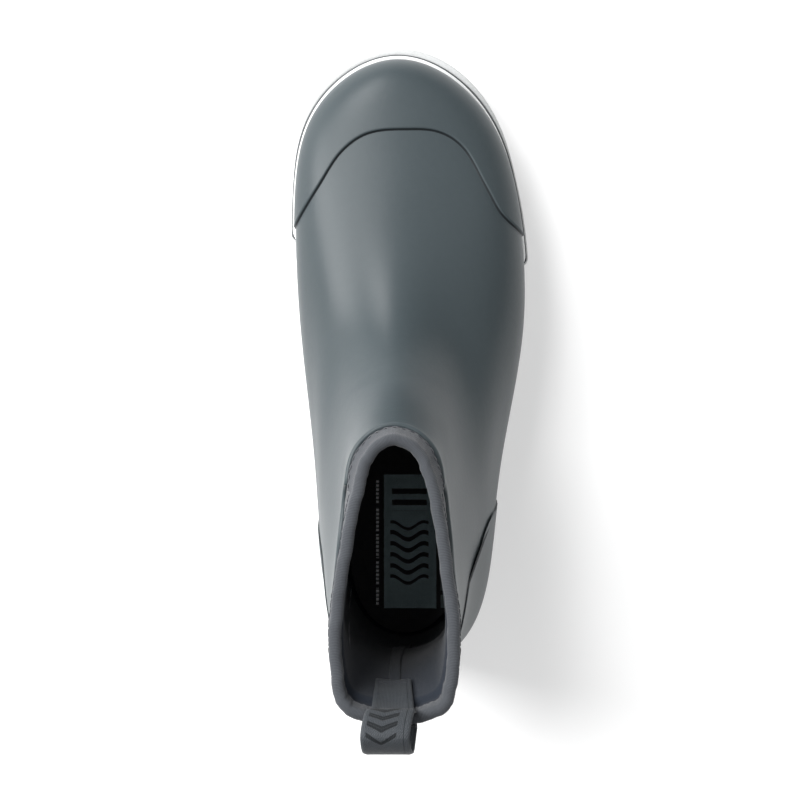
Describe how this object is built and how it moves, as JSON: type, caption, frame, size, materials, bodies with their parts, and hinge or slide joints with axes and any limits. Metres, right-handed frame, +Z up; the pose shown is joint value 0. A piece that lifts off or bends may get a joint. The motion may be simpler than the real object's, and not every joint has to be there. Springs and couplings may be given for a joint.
{
  "type": "ankle deck boot",
  "caption": "Right ankle deck boot: moulded rubber shell over a soft knit-collared bootie, heel pull tab, lift-up footbed and a flat slip-resistant sole.",
  "frame": {"origin": "on the ground, under the middle of the boot's bounding box", "axes": "+Y towards the toe, +X towards the outer side of the right foot, +Z up"},
  "size_m": [0.1128, 0.2982, 0.2039],
  "materials": {
    "slate_rubber": "satin",
    "white_rubber": "matte",
    "neoprene": "knit face",
    "binding_knit": "ribbed knit",
    "jersey": "brushed jersey",
    "cover_cloth": "flat cloth with a grey print",
    "foam": "moulded foam",
    "webbing": "woven tape",
    "board": "pressed fibre",
    "spring_steel": "brushed",
    "stiffener_plastic": "matte"
  },
  "bodies": {
    "boot": {"outsole": "white_rubber", "toe_bumper": "white_rubber", "midsole": "foam", "shank": "spring_steel", "heel_cushion": "foam", "insole_board": "board", "rubber_shell": "slate_rubber", "toe_cap": "slate_rubber", "heel_counter_cover": "slate_rubber", "toe_puff": "stiffener_plastic", "heel_stiffener": "stiffener_plastic", "neoprene_foot": "neoprene", "neoprene_shaft": "neoprene", "jersey_lining": "jersey", "collar_binding": "binding_knit", "footbed_front": "foam", "footbed_cover_front": "cover_cloth", "pull_tab_inner_leg": "webbing", "pull_tab_outer_leg": "webbing"},
    "pull_tab": {"pull_tab_loop": "webbing"},
    "footbed": {"footbed_rear": "foam", "footbed_cover_rear": "cover_cloth"}
  },
  "joints": [
    {"name": "pull_tab_bend", "type": "hinge", "parent": "boot", "child": "pull_tab", "pos_m": [-0.008, -0.139, 0.183], "axis": [1, 0, 0], "range_deg": [-25, 40], "stiffness_Nm_per_rad": 0.01},
    {"name": "footbed_lift", "type": "hinge", "parent": "boot", "child": "footbed", "pos_m": [0, 0.0225, 0.0285], "axis": [-1, 0, 0], "range_deg": [0, 12]}
  ]
}
